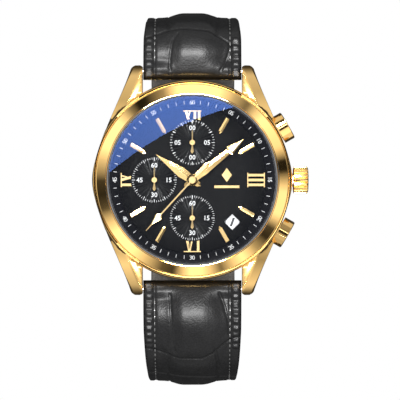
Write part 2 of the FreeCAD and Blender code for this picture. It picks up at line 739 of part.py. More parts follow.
def buckle_tongue():
    """Ring round the bar with a bar that rests on the far side of the frame."""
    eye = lying(-1.0, 1.0, 1.1, 0).cut(lying(-2, 2, 0.6 + run_gap, 0))
    prong = face([(-0.6, -0.75, -0.75), (-0.6, -buckle_l + 1.4, -1.5), (-0.6, -buckle_l + 1.4, -2.3),
                  (-0.6, -0.3, -1.05)])
    return on_wrap(fuse([eye, prong.extrude(V(1.2, 0, 0))]), buckle_angle, wrap_r)


def keeper(degrees):
    """Closed band round both strap halves."""
    top, low = wrap_r + 1.6, tail_r - 1.5
    middle = (top + low) / 2
    half_h, half_w = (top - low) / 2, strap_end_w / 2 + 0.45
    outer = block(-half_w - keeper_t, half_w + keeper_t, -keeper_w / 2, keeper_w / 2,
                  -half_h - keeper_t, half_h + keeper_t)
    long_edges = [e for e in outer.Edges if abs(e.Length - keeper_w) < 1e-6]
    outer = outer.makeFillet(1.1, long_edges)
    return on_wrap(outer.cut(block(-half_w, half_w, -5, 5, -half_h, half_h)), degrees, middle)


# ---- the nodes --------------------------------------------------------------------------------------
finish("case_middle", case_middle())
finish("bezel", bezel())
finish("crystal", crystal())
finish("crystal_gasket", crystal_gasket())
finish("case_back", case_back())
finish("case_back_gasket", tube(0, 0, case_z0, case_z0 + 0.6, cavity_r + 0.6, cavity_r - seat_gap))
finish("movement_holder", holder())
finish("case_tubes", Part.makeCompound([crown_tube(), pusher_tube(1), pusher_tube(-1)]))
finish("crown", crown().cut(lying(0, crown_x0 + 2.4, stem_r, stem_z)))
finish("crown_gasket", lying(crown_x0 + 0.8, crown_x0 + 1.3, 1.7, stem_z).cut(
    lying(0, 30, 1.3 + run_gap, stem_z)))
finish("winding_stem", crown_stem())
finish("sliding_pinion", sliding_pinion())
finish("setting_lever", setting_lever())
for sign, side in ((1, "upper"), (-1, "lower")):
    finish("pusher_" + side, pusher(sign))
    finish("pusher_spring_" + side, pusher_spring(sign))
    finish("pusher_clip_" + side, pusher_clip(sign))

finish("dial", dial())
finish("chapter_ring", chapter_ring())
finish("hour_batons", batons())
finish("hour_numerals", numerals())
finish("applied_mark", applied_mark())
finish("date_disc", date_disc())
finish("hour_hand", hand(hour_shape, hour_angle, hour_z, 1.2, hour_tube_r))
finish("minute_hand", minute_hand())
finish("minute_hand_lume", inlay(minute_inlay, minute_angle, minute_z))
finish("chrono_seconds_hand", seconds_hand())
finish("chrono_seconds_lume", inlay(seconds_inlay, seconds_angle, seconds_z))
finish("chrono_seconds_wheel", train_wheel("centre", seconds_z + hand_t + 0.1))
for name, (x, y) in counter_places.items():
    hand_z = marker_z + 0.2
    finish("counter_hand_" + name, hand(counter_shape, 0, hand_z, 0.55, arbor_r, x, y))
    finish("counter_wheel_" + name, train_wheel(name, hand_z + hand_t + 0.1))
for name in rotor_turns:
    finish("motor_rotor_" + name, rotor(name))

finish("main_plate", main_plate())
finish("train_bridge", train_bridge())
finish("bridge_screws", bridge_screws())
finish("circuit_board", circuit_board())
finish("battery", battery())
finish("battery_clamp", battery_clamp())
finish("motor_stators_and_coils", Part.makeCompound(stators() + coils()))
finish("quartz_can", quartz_can())
finish("cannon_pinion", cannon_pinion())
finish("minute_wheel", minute_wheel())
finish("hour_wheel", hour_wheel())

finish("strap_upper", strap_upper())
finish("strap_lower", strap_lower())
finish("spring_bars", Part.makeCompound([spring_bar(1), spring_bar(-1)]))
finish("buckle_bar", buckle_bar())
finish("buckle_frame", buckle_frame())
finish("buckle_tongue", buckle_tongue())
for name, degrees in keeper_angles.items():
    finish(name, keeper(degrees))
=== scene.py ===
import json
import math

import bmesh
import bpy
import numpy as np
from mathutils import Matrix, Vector

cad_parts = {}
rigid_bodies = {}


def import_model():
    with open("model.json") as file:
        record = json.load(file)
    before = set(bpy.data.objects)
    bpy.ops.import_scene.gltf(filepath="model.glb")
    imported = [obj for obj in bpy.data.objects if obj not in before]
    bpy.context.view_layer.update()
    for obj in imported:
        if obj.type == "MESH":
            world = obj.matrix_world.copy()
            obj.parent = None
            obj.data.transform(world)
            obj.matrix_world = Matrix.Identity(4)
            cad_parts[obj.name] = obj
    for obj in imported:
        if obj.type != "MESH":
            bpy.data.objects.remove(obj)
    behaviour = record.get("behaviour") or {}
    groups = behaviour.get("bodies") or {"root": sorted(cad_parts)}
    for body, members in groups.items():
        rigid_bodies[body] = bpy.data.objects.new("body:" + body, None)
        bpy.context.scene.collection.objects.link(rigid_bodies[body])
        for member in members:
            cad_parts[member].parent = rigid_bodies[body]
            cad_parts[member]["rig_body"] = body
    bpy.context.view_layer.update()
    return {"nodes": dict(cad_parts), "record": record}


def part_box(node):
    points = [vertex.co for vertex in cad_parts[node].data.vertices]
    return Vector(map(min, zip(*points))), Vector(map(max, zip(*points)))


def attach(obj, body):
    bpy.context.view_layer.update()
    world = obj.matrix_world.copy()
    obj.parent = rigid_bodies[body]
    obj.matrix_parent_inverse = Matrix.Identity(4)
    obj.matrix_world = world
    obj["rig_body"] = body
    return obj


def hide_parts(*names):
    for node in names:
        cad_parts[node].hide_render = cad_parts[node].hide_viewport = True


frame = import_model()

nodes = frame["nodes"]
scene = bpy.context.scene
scene.view_settings.view_transform = "Standard"

# The watch is drawn in its own millimetres: x towards 3 o'clock, y towards 12 o'clock and z out of
# the dial, from the outer face of the case back. at() gives the same place in the frame.


def at(x, y, z):
    return Vector((x, -z, y)) * 0.001


def box_of(node):
    """Lowest and highest corner of a CAD node in the watch's millimetres."""
    low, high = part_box(node)
    return Vector((low.x, low.z, -high.y)) * 1000, Vector((high.x, high.z, -low.y)) * 1000


# ---- The room and the camera --------------------------------------------------------------------
# The watch is shown head on in a white light tent, with one softbox above and one below, and black
# cards round it that give polished metal its dark bands.
camera_distance = 600.0
view_centre = (1.54, -4.0)
view_width = 80.0
dial_top = 6.6

camera_data = bpy.data.cameras.new("camera")
camera = bpy.data.objects.new("camera", camera_data)
scene.collection.objects.link(camera)
camera.location = at(view_centre[0], view_centre[1], camera_distance)
camera.rotation_euler = (math.pi / 2, 0, 0)
camera_data.sensor_width = 36.0
camera_data.lens = camera_data.sensor_width * (camera_distance - dial_top) / view_width
camera_data.clip_start, camera_data.clip_end = 0.01, 20
scene.camera = camera


class Wire:
    """The output of a shader node. Arithmetic on it adds Math nodes to the same tree."""

    def __init__(self, tree, socket=None):
        self.tree, self.socket = tree, socket

    def node(self, kind, values=None, output=0, **settings):
        """Add a node: its settings first, then what its sockets hold or are linked to."""
        made = self.tree.nodes.new("ShaderNode" + kind)
        stops = settings.pop("stops", None)
        for name, value in settings.items():
            setattr(made, name, value)
        if stops:
            ramp = made.color_ramp
            while len(ramp.elements) < len(stops):
                ramp.elements.new(1.0)
            for element, (place, colour) in zip(ramp.elements, stops):
                element.position, element.color = place, colour
        for name, value in (values or {}).items():
            if isinstance(value, Wire):
                self.tree.links.new(value.socket, made.inputs[name])
            else:
                made.inputs[name].default_value = value
        return Wire(self.tree, made.outputs[output])

    def math(self, operation, *others):
        return self.node("Math", dict(enumerate((self,) + others)), operation=operation)

    def into(self, node, name):
        self.tree.links.new(self.socket, node.inputs[name])

    def mix(self, first, second):
        """Blend two colours by this mask."""
        return self.node("Mix", {0: self, 6: first, 7: second}, output=2, data_type="RGBA")

    def step(self, low, high):
        """Rise from 0 at low to 1 at high."""
        return self.node("MapRange", {"Value": self, "From Min": low, "From Max": high},
                         interpolation_type="SMOOTHSTEP")

    def __add__(self, other):
        return self.math("ADD", other)

    def __radd__(self, other):
        return self.math("ADD", other)

    def __sub__(self, other):
        return self.math("SUBTRACT", other)

    def __rsub__(self, other):
        return self.node("Math", {0: other, 1: self}, operation="SUBTRACT")

    def __mul__(self, other):
        return self.math("MULTIPLY", other)

    def __rmul__(self, other):
        return self.math("MULTIPLY", other)

    def __truediv__(self, other):
        return self.math("DIVIDE", other)


def grey(value):
    return (value, value, value, 1.0)


def light_tent():
    """World light: bands of white cloth and black card round the view axis, white to the eye."""
    world = bpy.data.worlds.new("light_tent")
    world.use_nodes = True
    tree = world.node_tree
    start = Wire(tree)
    way = start.node("TexCoord")
    x, y, z = (start.node("SeparateXYZ", {0: way}, output=k) for k in range(3))
    # share of a turn, clockwise seen from the front, starting straight below
    turn = (x.math("ARCTAN2", z) + math.pi) / (2 * math.pi)
    # what the bezel's cone sees: cloth between narrow cards
    bands = start.node("ValToRGB", {0: turn}, stops=[(place, grey(value)) for place, value in (
        (0, 1.9), (0.033, 0.05), (0.055, 0.13), (0.085, 0.85), (0.12, 1.9), (0.155, 1.7),
        (0.2, 0.1), (0.225, 0.03), (0.25, 0.06), (0.285, 0.85), (0.31, 1.7), (0.355, 1.7),
        (0.385, 0.3), (0.4, 0.01), (0.417, 0.02), (0.45, 0.4), (0.475, 1.7), (0.545, 1.7),
        (0.575, 0.6), (0.6, 0.18), (0.635, 1.7), (0.69, 1.3), (0.715, 0.02), (0.733, 0.02),
        (0.77, 1.45), (0.81, 1.45), (0.835, 0.08), (0.855, 0.03), (0.88, 0.5), (0.908, 1.7),
        (0.95, 0.2), (0.985, 1.7))])
    # what steeper flanks see: the same room further round, with softer cards
    sides = start.node("ValToRGB", {0: turn}, stops=[(place, grey(value)) for place, value in (
        (0, 0.7), (0.08, 0.55), (0.13, 1.1), (0.19, 0.35), (0.245, 0.9), (0.3, 1.2), (0.36, 0.6),
        (0.45, 0.9), (0.55, 0.9), (0.62, 0.6), (0.68, 1.1), (0.735, 0.15), (0.79, 1.0), (0.86, 0.4),
        (0.91, 1.0), (1, 0.7))])
    forward = y * -1
    bands = forward.step(0.36, 0.50).mix(sides, bands)
    bands = forward.step(-0.50, -0.28).mix(grey(0.05), bands)
    # a black hood round the camera, which keeps the flat dial black
    hooded = forward.step(0.966, 0.986).mix(bands, grey(0.035))
    # a tall window of cloth behind the camera, whose lower edge the crystal shows as a clean line
    across, up = x / forward, z / forward
    edge = across * 0.42 + across * across * -1.45 + 0.1031
    window = up.math("GREATER_THAN", edge) * forward.math("GREATER_THAN", 0.972)
    cloth = start.node("CombineXYZ", {k: up * 12 + 2.7 for k in range(3)})
    seen = window.mix(hooded, cloth)
    seen_by_eye = start.node("LightPath", output=0)
    seen_by_eye.mix(seen, grey(1.0)).into(tree.nodes["Background"], "Color")
    scene.world = world


light_tent()


def softbox(name, place, aim, width, height, power):
    """Rectangular lamp at a place in watch millimetres, facing another."""
    data = bpy.data.lights.new(name, "AREA")
    data.shape = "RECTANGLE"
    data.size, data.size_y, data.energy = width / 1000, height / 1000, power
    lamp = bpy.data.objects.new(name, data)
    scene.collection.objects.link(lamp)
    lamp.location = at(*place)
    lamp.rotation_euler = (at(*aim) - at(*place)).to_track_quat("-Z", "Y").to_euler()
    lamp.visible_camera = False


softbox("top_softbox", (-25, 318, 510), (0, 20, 0), 300, 140, 9.5)
softbox("low_softbox", (10, -318, 510), (0, -20, 0), 220, 140, 8.0)


def new_material(name, constants):
    """Material with one Principled shader whose plain sockets are set, and a wire to draw with."""
    material = bpy.data.materials.new(name)
    material.use_nodes = True
    shader = material.node_tree.nodes["Principled BSDF"]
    for socket, value in constants.items():
        shader.inputs[socket].default_value = value
    return material, shader, Wire(material.node_tree)


# ---- Case middle, bezel and buckle metal --------------------------------------------------------
# The middle is a stamped and milled ring with four lugs, polished and gold plated. The bezel is
# turned, polished to a soft crown and pressed on. All of it shares one plating.


def gold_plate(name, roughness, tone=(1.0, 0.65, 0.24, 1.0), grain=0.0, grain_way=(1, 1, 1)):
    """Yellow gold plating: polished or lightly brushed, with hairlines and a faint drift of tone."""
    material, shader, wire = new_material(name, {"Metallic": 1.0})
    place = wire.node("TexCoord", output=3)
    drift = wire.node("TexNoise", {"Vector": place, "Scale": 90.0, "Detail": 2.0})
    deep = tuple(c * k for c, k in zip(tone, (0.97, 0.94, 0.88, 1.0)))
    drift.step(0.3, 0.7).mix(tone, deep).into(shader, "Base Color")
    stretched = wire.node("Mapping", {"Vector": place, "Scale": grain_way})
    hairline = wire.node("TexNoise", {"Vector": stretched, "Scale": 2600.0, "Detail": 4.0})
    worn = wire.node("TexNoise", {"Vector": place, "Scale": 350.0, "Detail": 5.0})
    (roughness + worn.step(0.55, 0.75) * 0.05 + hairline * grain).into(shader, "Roughness")
    bump = wire.node("Bump", {"Strength": 0.05 + grain * 2, "Distance": 0.00002, "Height": hairline})
    bump.into(shader, "Normal")
    return material


polished_gold = gold_plate("polished_gold_plate", 0.05)
brushed_gold = gold_plate("satin_gold_plate", 0.22, grain=0.12, grain_way=(1, 1, 0.06))
covered = set()


def shown(name, mesh, material, body, slot, replaced=()):
    """Link a finished mesh as a visible piece that rides on a body and covers some CAD nodes."""
    piece = bpy.data.objects.new(name, mesh)
    scene.collection.objects.link(piece)
    if material:
        mesh.materials.clear()
        mesh.materials.append(material)
    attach(piece, body)
    if replaced:
        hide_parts(*replaced)
        covered.update(replaced)
    return piece


def body_of(node):
    return nodes[node]["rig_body"]


def slot_of(node):
    return next(s["material_slot"] for s in frame["record"]["subparts"] if s["node"] == node)


def settle(mesh, sharp_angle, outwards):
    """Merge corners, turn faces outwards if asked, and shade smooth where edges are blunt."""
    shape = bmesh.new()
    shape.from_mesh(mesh)
    bmesh.ops.remove_doubles(shape, verts=shape.verts, dist=1e-7)
    if outwards:
        bmesh.ops.recalc_face_normals(shape, faces=shape.faces)
    shape.to_mesh(mesh)
    shape.free()
    mesh.shade_smooth()
    mesh.set_sharp_from_angle(angle=math.radians(sharp_angle))


def dressed(node, material, sharp_angle=28.0):
    """Smooth-shaded copy of a CAD node, with its loose triangles merged, in its place."""
    mesh = nodes[node].data.copy()
    settle(mesh, sharp_angle, False)
    return shown(node + "_skin", mesh, material, body_of(node), slot_of(node), [node])


def closed_mesh(name, verts, faces, sharp_angle=28.0):
    """Closed solid from corners and faces."""
    mesh = bpy.data.meshes.new(name)
    mesh.from_pydata(verts, [], faces)
    settle(mesh, sharp_angle, True)
    return mesh


def loft_faces(rings, around):
    """Faces of a tube of rings with the same number of points, and one over each end."""
    faces = []
    for a in range(rings - 1):
        for k in range(around):
            n = (k + 1) % around
            faces.append((a * around + k, a * around + n, (a + 1) * around + n, (a + 1) * around + k))
    last = (rings - 1) * around
    return faces + [tuple(range(around)), tuple(range(last, last + around))]


def spun_mesh(name, outline, steps=240, axis_x=0.0, axis_y=0.0):
    """Closed ring or disc: a (radius, height) outline turned about the hand axis."""
    verts, faces = [], []
    count = len(outline)
    rings = []
    for r, z in outline:
        if r < 1e-6:
            verts.append(at(axis_x, axis_y, z))
            rings.append([len(verts) - 1] * steps)
            continue
        ring = []
        for k in range(steps):
            turn = 2 * math.pi * k / steps
            verts.append(at(axis_x + r * math.cos(turn), axis_y + r * math.sin(turn), z))
            ring.append(len(verts) - 1)
        rings.append(ring)
    closed = all(r > 1e-6 for r, z in outline)
    for i in range(count if closed else count - 1):
        low, high = rings[i], rings[(i + 1) % count]
        for k in range(steps):
            n = (k + 1) % steps
            corner = []
            for v in (low[k], low[n], high[n], high[k]):
                if v not in corner:
                    corner.append(v)
            if len(corner) > 2:
                faces.append(corner)
    return closed_mesh(name, verts, faces)


def curve_between(start, control, end, steps):
    """Points of a smooth arc from start to end that leans towards a control point."""
    points = []
    for k in range(steps + 1):
        t = k / steps
        points.append(tuple((1 - t) ** 2 * a + 2 * t * (1 - t) * c + t * t * b
                            for a, c, b in zip(start, control, end)))
    return points


bezel_low, bezel_high = box_of("bezel")
bezel_r, bezel_top, bezel_seat = bezel_high.x, bezel_high.z, bezel_low.z
crystal_r = box_of("crystal")[1].x
crystal_edge_z = 9.9
bezel_bore = crystal_r + 0.2
rebate_r = crystal_r + 0.7
flange_z = 8.21
cone_start, cone_end = (bezel_bore + 0.34, bezel_top), (bezel_r - 0.26, bezel_top - 0.74)
bezel_line = [(bezel_bore, crystal_edge_z - 0.25), (bezel_bore + 0.02, crystal_edge_z - 0.02),
              (bezel_bore + 0.12, bezel_top - 0.20), (bezel_bore + 0.20, bezel_top - 0.22),
              (bezel_bore + 0.32, bezel_top - 0.02)]
bezel_line += curve_between(cone_start, (bezel_bore + 1.20, bezel_top - 0.34), cone_end, 10)
bezel_line += curve_between(cone_end, (bezel_r - 0.03, bezel_top - 0.86), (bezel_r, bezel_top - 1.3), 6)[1:]
bezel_line += [(bezel_r, bezel_top - 1.6), (bezel_r - 0.06, flange_z + 0.11), (bezel_r - 0.3, flange_z),
               (rebate_r, flange_z), (rebate_r, bezel_seat), (bezel_bore, bezel_seat)]
shown("bezel_ring", spun_mesh("bezel_ring", bezel_line, 360), polished_gold, "case", "gold_case", ["bezel"])

case = dressed("case_middle", polished_gold)
case.data.materials.append(brushed_gold)
lug_x, lug_y = 9.9, 12.5
for polygon in case.data.polygons:
    on_lug = abs(polygon.center.x) > lug_x / 1000 and abs(polygon.center.z) > lug_y / 1000
    leans_inwards = polygon.normal.x * polygon.center.x < 0.0025
    if polygon.normal.y < -0.80 and on_lug and leans_inwards:
        polygon.material_index = 1

# ---- Crown and pushers --------------------------------------------------------------------------
# The crown is a fluted knob screwed on the winding stem. The pushers are plain turned buttons on
# rods that pass through tubes in the case. All are polished and plated like the case.


def fluted_knob(name, start, end, radius, height, flutes=18, depth=0.3):
    """Closed knob on the 3 o'clock axis: broad ribs and narrow grooves between two shoulders."""
    stations = [(start, radius - 0.50, 0.0), (start + 0.10, radius - 0.18, 0.5),
                (start + 0.22, radius, 1.0), (end - 0.52, radius, 1.0), (end - 0.22, radius - 0.12, 0.8),
                (end - 0.05, radius - 0.42, 0.0), (end, radius - 0.75, 0.0)]
    count = flutes * 12
    verts = []
    for x, r, cut in stations:
        for k in range(count):
            turn = 2 * math.pi * k / count
            groove = 1 - min(1.0, 1.7 * abs(math.sin(turn * flutes / 2)))
            out = r - depth * cut * groove
            verts.append(at(x, out * math.cos(turn), height + out * math.sin(turn)))
    return closed_mesh(name, verts, loft_faces(len(stations), count), 25.0)


crown_low, crown_high = box_of("crown")
crown_start = max(crown_low.x, 20.2)
knob = fluted_knob("crown_knob", crown_start, crown_high.x, (crown_high.y - crown_low.y) / 2,
                   (crown_low.z + crown_high.z) / 2)
shown("crown_knob", knob, gold_plate("fluted_gold_plate", 0.14), "crown", "gold_case", ["crown"])
for side in ("upper", "lower"):
    dressed("pusher_" + side, polished_gold)

# ---- Crystal ------------------------------------------------------------------------------------
# A slightly domed mineral glass with a blue anti-reflection coating, held in a black gasket.


def coated_glass():
    """Clear to look through; what it mirrors is tinted by the coating."""
    material, shader, wire = new_material("blue_coated_glass", {"Roughness": 0.02})
    tree = material.node_tree
    clear = wire.node("BsdfTransparent", {"Color": (0.97, 0.975, 0.985, 1)})
    mirror = wire.node("BsdfAnisotropic", {"Color": (0.14, 0.30, 0.95, 1), "Roughness": 0.01})
    from_outside = 1 - wire.node("NewGeometry", output=6)
    shine = wire.node("Fresnel", {"IOR": 1.45}) * from_outside
    smear = wire.node("TexNoise", {"Vector": wire.node("TexCoord", output=3), "Scale": 60.0, "Detail": 2.0})
    mixed = wire.node("MixShader", {0: shine * (3.4 + smear * 0.2), 1: clear, 2: mirror})
    tree.nodes.remove(shader)
    mixed.into(tree.nodes["Material Output"], "Surface")
    return material


dome = 0.45
dome_shares = [0.993] + [1 - k / 48 for k in range(1, 48)] + [0.0]
crystal_line = [(0.0, 8.8), (crystal_r - 0.1, 8.8), (crystal_r, 8.9), (crystal_r, crystal_edge_z - 0.12)]
crystal_line += [(crystal_r * share, crystal_edge_z + dome * (1 - share ** 2)) for share in dome_shares]
shown("crystal_lens", spun_mesh("crystal_lens", crystal_line), coated_glass(), "case", "crystal_glass",
      ["crystal"])

# ---- Dial and chapter ring ----------------------------------------------------------------------
# The dial is a brass plate brushed outwards from its centre, plated black and lacquered. Its three
# counters are sunk and cut with fine circular grooves. The chapter ring stands on its rim.
counters = {"top": (0.0, 7.5), "left": (-7.6, 0.0), "bottom": (0.0, -7.6)}
counter_r = 4.6


def across_dial(wire, centre=(0.0, 0.0)):
    """Distance from a centre on the dial and angle round it, in millimetres and radians."""
    place = wire.node("TexCoord", output=3)
    x = wire.node("SeparateXYZ", {0: place}, output=0) * 1000 - centre[0]
    y = wire.node("SeparateXYZ", {0: place}, output=2) * 1000 - centre[1]
    return (x * x + y * y).math("SQRT"), y.math("ARCTAN2", x)


def black_dial(name, colour, rim_colour):
    """Black plating: radial brushing, circular grooves in the counters, satin lacquer on top."""
    material, shader, wire = new_material(name, {
        "Metallic": 1.0, "Coat Weight": 0.12, "Coat Roughness": 0.2, "Coat IOR": 1.5})
    radius, turn = across_dial(wire)
    rays = wire.node("CombineXYZ", {0: turn.math("COSINE") * 90, 1: turn.math("SINE") * 90,
                                    2: radius * 0.02})
    height = wire.node("TexNoise", {"Vector": rays, "Scale": 1.0, "Detail": 2.0})
    inside = None
    for centre in counters.values():
        away = across_dial(wire, centre)[0]
        grooves = wire.node("TexNoise", {"Vector": wire.node("CombineXYZ", {0: away * 9}), "Scale": 1.0,
                                         "Detail": 2.0}) * 2.6
        mask = away.math("LESS_THAN", counter_r - 0.35)
        height = height * (1 - mask) + grooves * mask
        inside = mask if inside is None else inside + mask
    edge = radius.step(9.0, 16.0)
    base = inside.mix(edge.mix(colour, rim_colour), tuple(c * 0.75 for c in colour[:3]) + (1,))
    base.into(shader, "Base Color")
    (0.34 + inside * 0.08).into(shader, "Roughness")
    wire.node("Bump", {"Strength": 0.14, "Distance": 0.00004, "Height": height}).into(shader, "Normal")
    return material


sunray = black_dial("black_sunray_dial", (0.0115, 0.0115, 0.0108, 1), (0.0060, 0.0060, 0.0057, 1))
dressed("dial", sunray, 0.5)


def ring_lacquer():
    """Dull black lacquer with a fine fleck."""
    material, shader, wire = new_material("black_ring_lacquer", {"Specular IOR Level": 0.04})
    place = wire.node("TexCoord", output=3)
    fleck = wire.node("TexNoise", {"Vector": place, "Scale": 2400.0, "Detail": 2.0})
    fleck.mix((0.003, 0.003, 0.0035, 1), (0.008, 0.008, 0.008, 1)).into(shader, "Base Color")
    (0.42 + fleck * 0.12).into(shader, "Roughness")
    return material


dressed("chapter_ring", ring_lacquer())

# ---- Printing on the dial -----------------------------------------------------------------------
# White enamel, pad-printed: sixty minute strokes and their numbers on the chapter ring, and the
# scales of the three counters. Strokes are set out round their circle by one node tree.


def enamel(name, colour, roughness=0.45):
    """Printed or brushed-on paint with a slightly uneven film."""
    material, shader, wire = new_material(name, {"IOR": 1.45})
    film = wire.node("TexNoise", {"Vector": wire.node("TexCoord", output=3), "Scale": 3000.0, "Detail": 3.0})
    film.mix(colour, tuple(c * 0.9 for c in colour[:3]) + (1,)).into(shader, "Base Color")
    (roughness + film * 0.1).into(shader, "Roughness")
    wire.node("Bump", {"Strength": 0.15, "Distance": 0.00001, "Height": film}).into(shader, "Normal")
    return material


white_print = enamel("white_dial_print", (0.42, 0.42, 0.41, 1))


class NodeTree:
    """A geometry node tree with named inputs, and one method that adds a node."""

    def __init__(self, name, inputs):
        self.tree = bpy.data.node_groups.new(name, "GeometryNodeTree")
        self.tree.interface.new_socket("Geometry", in_out="INPUT", socket_type="NodeSocketGeometry")
        for label, kind in inputs.items():
            self.tree.interface.new_socket(label, in_out="INPUT", socket_type="NodeSocket" + kind)
        self.tree.interface.new_socket("Geometry", in_out="OUTPUT", socket_type="NodeSocketGeometry")
        self.entry = self.tree.nodes.new("NodeGroupInput")

    def input(self, label):
        return self.entry.outputs[label]

    def node(self, kind, values=None, output=0, **settings):
        made = self.tree.nodes.new(kind)
        for name, value in settings.items():
            setattr(made, name, value)
        for name, value in (values or {}).items():
            if isinstance(value, bpy.types.NodeSocket):
                self.tree.links.new(value, made.inputs[name])
            else:
                made.inputs[name].default_value = value
        return made.outputs[output]

    def close(self, instances, material):
        """Turn instances into real mesh, give it its material and send it out."""
        real = self.node("GeometryNodeRealizeInstances", {0: instances})
        painted = self.node("GeometryNodeSetMaterial", {"Geometry": real, "Material": material})
        leave = self.tree.nodes.new("NodeGroupOutput")
        self.tree.links.new(painted, leave.inputs[0])
        return self.tree


def grown(tree, values, start=None):
    """Mesh that a node tree makes with these named input values."""
    carrier = bpy.data.objects.new("carrier", start or bpy.data.meshes.new("carrier"))
    scene.collection.objects.link(carrier)
    modifier = carrier.modifiers.new("nodes", "NODES")
    modifier.node_group = tree
    for item in tree.interface.items_tree:
        if item.in_out == "INPUT" and item.name in values:
            modifier[item.identifier] = values[item.name]
    bpy.context.view_layer.update()
    result = bpy.data.meshes.new_from_object(carrier.evaluated_get(bpy.context.evaluated_depsgraph_get()))
    carrier.modifiers.remove(modifier)
    bpy.data.objects.remove(carrier)
    return result


def stroke_ring_tree():
    """Thin strokes set radially round a circle about the row's Y axis."""
    kit = NodeTree("stroke_ring", {"Count": "Int", "Radius": "Float", "Length": "Float", "Width": "Float",
                                   "Thickness": "Float", "Finish": "Material"})
    circle = kit.node("GeometryNodeMeshCircle", {"Vertices": kit.input("Count"),
                                                 "Radius": kit.input("Radius")})
    size = kit.node("ShaderNodeCombineXYZ", {0: kit.input("Length"), 1: kit.input("Width"),
                                             2: kit.input("Thickness")})
    stroke = kit.node("GeometryNodeMeshCube", {"Size": size})
    way = kit.node("GeometryNodeInputPosition")
    turned = kit.node("FunctionNodeAlignRotationToVector", {"Vector": way}, axis="X")
    placed = kit.node("GeometryNodeInstanceOnPoints", {"Points": circle, "Instance": stroke,
                                                       "Rotation": turned})
    return kit.close(placed, kit.input("Finish"))


stroke_ring = stroke_ring_tree()


def mesh_is_inside_out(mesh):
    """True if the signed volume of a closed mesh is negative."""
    volume = 0.0
    for polygon in mesh.polygons:
        first = mesh.vertices[polygon.vertices[0]].co
        for a, b in zip(polygon.vertices[1:], polygon.vertices[2:]):
            volume += first.dot(mesh.vertices[a].co.cross(mesh.vertices[b].co))
    return volume < 0


def strokes(count, r0, r1, width, centre=(0.0, 0.0), z=0.0, slope=0.0, thickness=0.02):
    """Ring of strokes between two radii, laid on the dial at height z, rising outwards by slope."""
    mesh = grown(stroke_ring, {"Count": count, "Radius": (r0 + r1) / 2, "Length": r1 - r0, "Width": width,
                               "Thickness": thickness, "Finish": white_print})
    for vertex in mesh.vertices:
        x, y, up = vertex.co
        rise = slope * (math.hypot(x, y) - r0)
        vertex.co = at(centre[0] + x, centre[1] + y, z + up + rise)
    if mesh_is_inside_out(mesh):
        mesh.flip_normals()
    return mesh


def lettering(text, height, centre, radial, turn, z, tilt=0.0, thickness=0.02, weight=0.012):
    """Digits as a thin solid, centred at a (distance, clock angle) from a dial centre."""
    data = bpy.data.curves.new("digits", "FONT")
    data.body, data.size, data.align_x, data.align_y = text, height * 1.38, "CENTER", "CENTER"
    data.extrude, data.resolution_u, data.offset = thickness / 2, 2, height * weight
    written = bpy.data.objects.new("digits", data)
    scene.collection.objects.link(written)
    mesh = bpy.data.meshes.new_from_object(written.evaluated_get(bpy.context.evaluated_depsgraph_get()))
    bpy.data.objects.remove(written)
    corners = np.array([v.co for v in mesh.vertices])
    middle = Vector((corners.min(0) + corners.max(0)) / 2)
    bearing = math.radians(radial[1])
    x0, y0 = centre[0] + radial[0] * math.sin(bearing), centre[1] + radial[0] * math.cos(bearing)
    spin = math.radians(turn)
    for vertex in mesh.vertices:
        x, y, up = vertex.co - middle
        px, py = x * math.cos(spin) + y * math.sin(spin), -x * math.sin(spin) + y * math.cos(spin)
        outwards = px * math.sin(bearing) + py * math.cos(bearing)
        vertex.co = at(x0 + px, y0 + py, z + up + tilt * outwards)
    return mesh


def joined(name, meshes, material):
    """One mesh of one material from several."""
    shape = bmesh.new()
    for mesh in meshes:
        shape.from_mesh(mesh)
        bpy.data.meshes.remove(mesh)
    bmesh.ops.remove_doubles(shape, verts=shape.verts, dist=1e-8)
    made = bpy.data.meshes.new(name)
    shape.to_mesh(made)
    shape.free()
    made.materials.clear()
    made.materials.append(material)
    return made


ring_high = box_of("chapter_ring")[1]
ring_bore, ring_lip = 14.8, dial_top + 0.3
ring_slope = (ring_high.z - ring_lip) / (ring_high.x - 0.25 - ring_bore)
track_r0, track_r1 = 15.15, 15.85
track_r = (track_r0 + track_r1) / 2


def ring_height(r):
    return ring_lip + (r - ring_bore) * ring_slope + 0.015


track = [strokes(60, track_r0, track_r1, 0.1, z=ring_height(track_r0), slope=ring_slope)]
for minute in range(5, 61, 5):
    bearing = minute * 6.0
    half_turn = 180 if 20 <= minute <= 40 else 0
    track.append(lettering("%02d" % minute, 0.85, (0, 0), (track_r, bearing), bearing + half_turn,
                           ring_height(track_r) + 0.03, ring_slope, 0.02, 0.0))
shown("minute_track", joined("minute_track", track, white_print), None, "case", "white_date")

counter_floor = dial_top - 0.12 + 0.012
scales = {"top": (50, ("00", "05", "00", "05")), "left": (60, ("60", "15", "30", "45")),
          "bottom": (60, ("60", "15", "30", "45"))}
printed = []
for where, (count, numbers) in scales.items():
    centre = counters[where]
    printed.append(strokes(count, 4.12, 4.48, 0.07, centre, counter_floor))
    printed.append(strokes(12, 3.85, 4.48, 0.10, centre, counter_floor + 0.003))
    for quarter, number in enumerate(numbers):
        printed.append(lettering(number, 0.95, centre, (2.95, 90.0 * quarter), 0.0, counter_floor))
shown("counter_scales", joined("counter_scales", printed, white_print), None, "case", "white_date")

# ---- Markers, numerals and mark -----------------------------------------------------------------
# Applied brass, diamond-cut and gold plated, with two feet each through the dial. The batons are cut
# to a roof with a pointed inner end.


